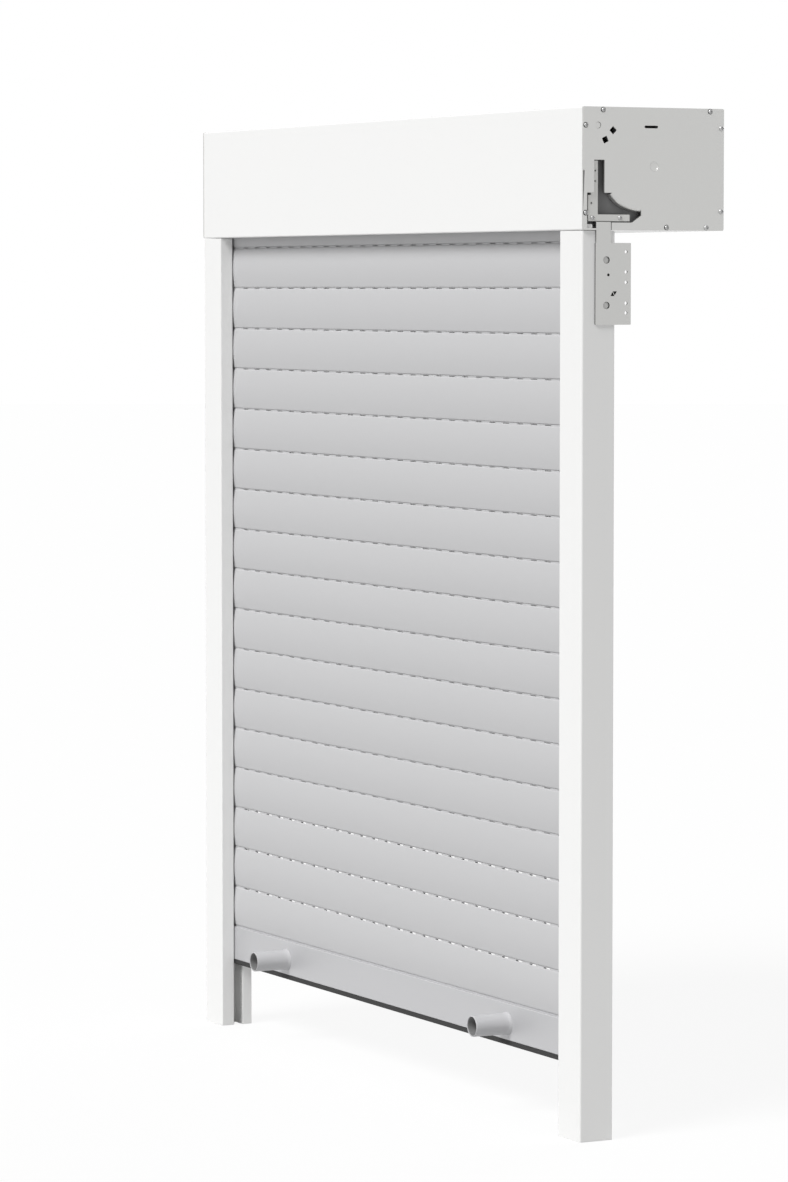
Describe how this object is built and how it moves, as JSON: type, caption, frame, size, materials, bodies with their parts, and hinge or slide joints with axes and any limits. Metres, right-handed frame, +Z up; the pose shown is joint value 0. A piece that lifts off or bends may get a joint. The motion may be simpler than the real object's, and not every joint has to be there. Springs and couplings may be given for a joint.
{
  "type": "exterior roller shutter",
  "caption": "Roller shutter with a white headbox, two guide rails and a light grey curtain of hooked slats that slides up into the box on a motor shaft.",
  "frame": {"origin": "on the window plane (the rear faces of the rails), midway between the rails, at the level of their feet", "axes": "+X along the window to the right seen from outside, +Y from outside towards the window, +Z up"},
  "size_m": [1.2044, 0.2542, 1.4],
  "materials": {
    "white_profile": "smooth white extruded profile",
    "white_foot": "moulded white plastic",
    "galvanised_sheet": "dull galvanised sheet",
    "bracket_steel": "galvanised sheet, cut edges",
    "screw_steel": "zinc plated",
    "shaft_steel": "galvanised tube",
    "spring_steel": "blued spring steel",
    "slat_grey": "light grey, satin",
    "bar_grey": "light grey, satin",
    "stopper_grey": "light grey moulded plastic",
    "seal_rubber": "black rubber",
    "brush_dark": "dense brush pile",
    "funnel_grey": "moulded dark grey plastic",
    "gear_plastic": "glass-filled black plastic",
    "glider_black": "moulded plastic",
    "motor_tube": "drawn tube",
    "nylon": "natural nylon"
  },
  "bodies": {
    "casing": {"front_panel": "white_profile", "rear_panel": "white_profile", "top_panel": "white_profile", "bottom_panel": "white_profile", "mouth_seal": "brush_dark", "end_plate_left": "galvanised_sheet", "end_plate_right": "galvanised_sheet", "end_plate_screws": "screw_steel", "guide_rail_left": "white_profile", "guide_rail_right": "white_profile", "rail_seals_left": "brush_dark", "rail_seals_right": "brush_dark", "rail_foot_left": "white_foot", "rail_foot_right": "white_foot", "inlet_funnel_left": "funnel_grey", "inlet_funnel_right": "funnel_grey", "rail_bracket_left": "bracket_steel", "rail_bracket_right": "bracket_steel", "bracket_rivets": "screw_steel", "box_anchor_left": "bracket_steel", "box_anchor_right": "bracket_steel", "anchor_screws": "screw_steel", "motor_bracket": "bracket_steel", "motor_head": "gear_plastic", "tube_motor": "motor_tube", "shaft_bearing": "nylon", "bearing_bracket": "bracket_steel", "hanger_straps": "spring_steel"},
    "curtain_bar": {"bottom_bar": "bar_grey", "bottom_seal": "seal_rubber", "bar_gliders": "glider_black", "stopper_left": "stopper_grey", "stopper_right": "stopper_grey", "stopper_screws": "screw_steel"},
    "winding_shaft": {"octagonal_shaft": "shaft_steel", "drive_crown": "gear_plastic", "drive_wheel": "gear_plastic", "output_spindle": "screw_steel", "idler_cap": "gear_plastic", "idler_pin": "screw_steel"},
    "slat_01": {"slat_01": "slat_grey"},
    "slat_02": {"slat_02": "slat_grey"},
    "slat_03": {"slat_03": "slat_grey"},
    "slat_04": {"slat_04": "slat_grey"},
    "slat_05": {"slat_05": "slat_grey"},
    "slat_06": {"slat_06": "slat_grey"},
    "slat_07": {"slat_07": "slat_grey"},
    "slat_08": {"slat_08": "slat_grey"},
    "slat_09": {"slat_09": "slat_grey"},
    "slat_10": {"slat_10": "slat_grey"},
    "slat_11": {"slat_11": "slat_grey"},
    "slat_12": {"slat_12": "slat_grey"},
    "slat_13": {"slat_13": "slat_grey"},
    "slat_14": {"slat_14": "slat_grey"},
    "slat_15": {"slat_15": "slat_grey"},
    "slat_16": {"slat_16": "slat_grey"},
    "slat_17": {"slat_17": "slat_grey"},
    "slat_18": {"slat_18": "slat_grey"}
  },
  "joints": [
    {"name": "curtain_lift", "type": "slide", "parent": "casing", "child": "curtain_bar", "axis": [0, 0, 1], "range_m": [-0.096, 1.09225], "deforming": ["hanger_straps"]},
    {"name": "slat_01_lift", "type": "slide", "parent": "casing", "child": "slat_01", "axis": [0, 0, 1], "range_m": [-0.0959, 1.0908], "deforming": ["slat_01"]},
    {"name": "slat_02_lift", "type": "slide", "parent": "casing", "child": "slat_02", "axis": [0, 0, 1], "range_m": [-0.0908, 1.0323], "deforming": ["slat_02"]},
    {"name": "slat_03_lift", "type": "slide", "parent": "casing", "child": "slat_03", "axis": [0, 0, 1], "range_m": [-0.0856, 0.9737], "deforming": ["slat_03"]},
    {"name": "slat_04_lift", "type": "slide", "parent": "casing", "child": "slat_04", "axis": [0, 0, 1], "range_m": [-0.0805, 0.9152], "deforming": ["slat_04"]},
    {"name": "slat_05_lift", "type": "slide", "parent": "casing", "child": "slat_05", "axis": [0, 0, 1], "range_m": [-0.0753, 0.8566], "deforming": ["slat_05"]},
    {"name": "slat_06_lift", "type": "slide", "parent": "casing", "child": "slat_06", "axis": [0, 0, 1], "range_m": [-0.0702, 0.7981], "deforming": ["slat_06"]},
    {"name": "slat_07_lift", "type": "slide", "parent": "casing", "child": "slat_07", "axis": [0, 0, 1], "range_m": [-0.065, 0.7395], "deforming": ["slat_07"]},
    {"name": "slat_08_lift", "type": "slide", "parent": "casing", "child": "slat_08", "axis": [0, 0, 1], "range_m": [-0.0599, 0.681], "deforming": ["slat_08"]},
    {"name": "slat_09_lift", "type": "slide", "parent": "casing", "child": "slat_09", "axis": [0, 0, 1], "range_m": [-0.0548, 0.6224], "deforming": ["slat_09"]},
    {"name": "slat_10_lift", "type": "slide", "parent": "casing", "child": "slat_10", "axis": [0, 0, 1], "range_m": [-0.0496, 0.5639], "deforming": ["slat_10"]},
    {"name": "slat_11_lift", "type": "slide", "parent": "casing", "child": "slat_11", "axis": [0, 0, 1], "range_m": [-0.0445, 0.5054], "deforming": ["slat_11"]},
    {"name": "slat_12_lift", "type": "slide", "parent": "casing", "child": "slat_12", "axis": [0, 0, 1], "range_m": [-0.0393, 0.4468], "deforming": ["slat_12"]},
    {"name": "slat_13_lift", "type": "slide", "parent": "casing", "child": "slat_13", "axis": [0, 0, 1], "range_m": [-0.0342, 0.3883], "deforming": ["slat_13"]},
    {"name": "slat_14_lift", "type": "slide", "parent": "casing", "child": "slat_14", "axis": [0, 0, 1], "range_m": [-0.029, 0.3297], "deforming": ["slat_14"]},
    {"name": "slat_15_lift", "type": "slide", "parent": "casing", "child": "slat_15", "axis": [0, 0, 1], "range_m": [-0.0239, 0.2712], "deforming": ["slat_15"]},
    {"name": "slat_16_lift", "type": "slide", "parent": "casing", "child": "slat_16", "axis": [0, 0, 1], "range_m": [-0.0187, 0.2126], "deforming": ["slat_16"]},
    {"name": "slat_17_lift", "type": "slide", "parent": "casing", "child": "slat_17", "axis": [0, 0, 1], "range_m": [-0.0136, 0.1541], "deforming": ["slat_17"]},
    {"name": "slat_18_lift", "type": "slide", "parent": "casing", "child": "slat_18", "axis": [0, 0, 1], "range_m": [-0.0084, 0.0955], "deforming": ["slat_18"]},
    {"name": "shaft_turn", "type": "hinge", "parent": "casing", "child": "winding_shaft", "pos_m": [0, 0.059, 1.321], "axis": [1, 0, 0], "range_deg": [-1260.5, 111]}
  ],
  "couplings": [
    {"joint": "slat_01_lift", "follows": "curtain_lift", "ratio": 0.99863},
    {"joint": "slat_02_lift", "follows": "curtain_lift", "ratio": 0.94503},
    {"joint": "slat_03_lift", "follows": "curtain_lift", "ratio": 0.89143},
    {"joint": "slat_04_lift", "follows": "curtain_lift", "ratio": 0.83783},
    {"joint": "slat_05_lift", "follows": "curtain_lift", "ratio": 0.78423},
    {"joint": "slat_06_lift", "follows": "curtain_lift", "ratio": 0.73063},
    {"joint": "slat_07_lift", "follows": "curtain_lift", "ratio": 0.67703},
    {"joint": "slat_08_lift", "follows": "curtain_lift", "ratio": 0.62343},
    {"joint": "slat_09_lift", "follows": "curtain_lift", "ratio": 0.56983},
    {"joint": "slat_10_lift", "follows": "curtain_lift", "ratio": 0.51623},
    {"joint": "slat_11_lift", "follows": "curtain_lift", "ratio": 0.46263},
    {"joint": "slat_12_lift", "follows": "curtain_lift", "ratio": 0.40903},
    {"joint": "slat_13_lift", "follows": "curtain_lift", "ratio": 0.35543},
    {"joint": "slat_14_lift", "follows": "curtain_lift", "ratio": 0.30183},
    {"joint": "slat_15_lift", "follows": "curtain_lift", "ratio": 0.24823},
    {"joint": "slat_16_lift", "follows": "curtain_lift", "ratio": 0.19463},
    {"joint": "slat_17_lift", "follows": "curtain_lift", "ratio": 0.14103},
    {"joint": "slat_18_lift", "follows": "curtain_lift", "ratio": 0.08743},
    {"joint": "shaft_turn", "follows": "curtain_lift", "rad_per_m": -20.134}
  ]
}
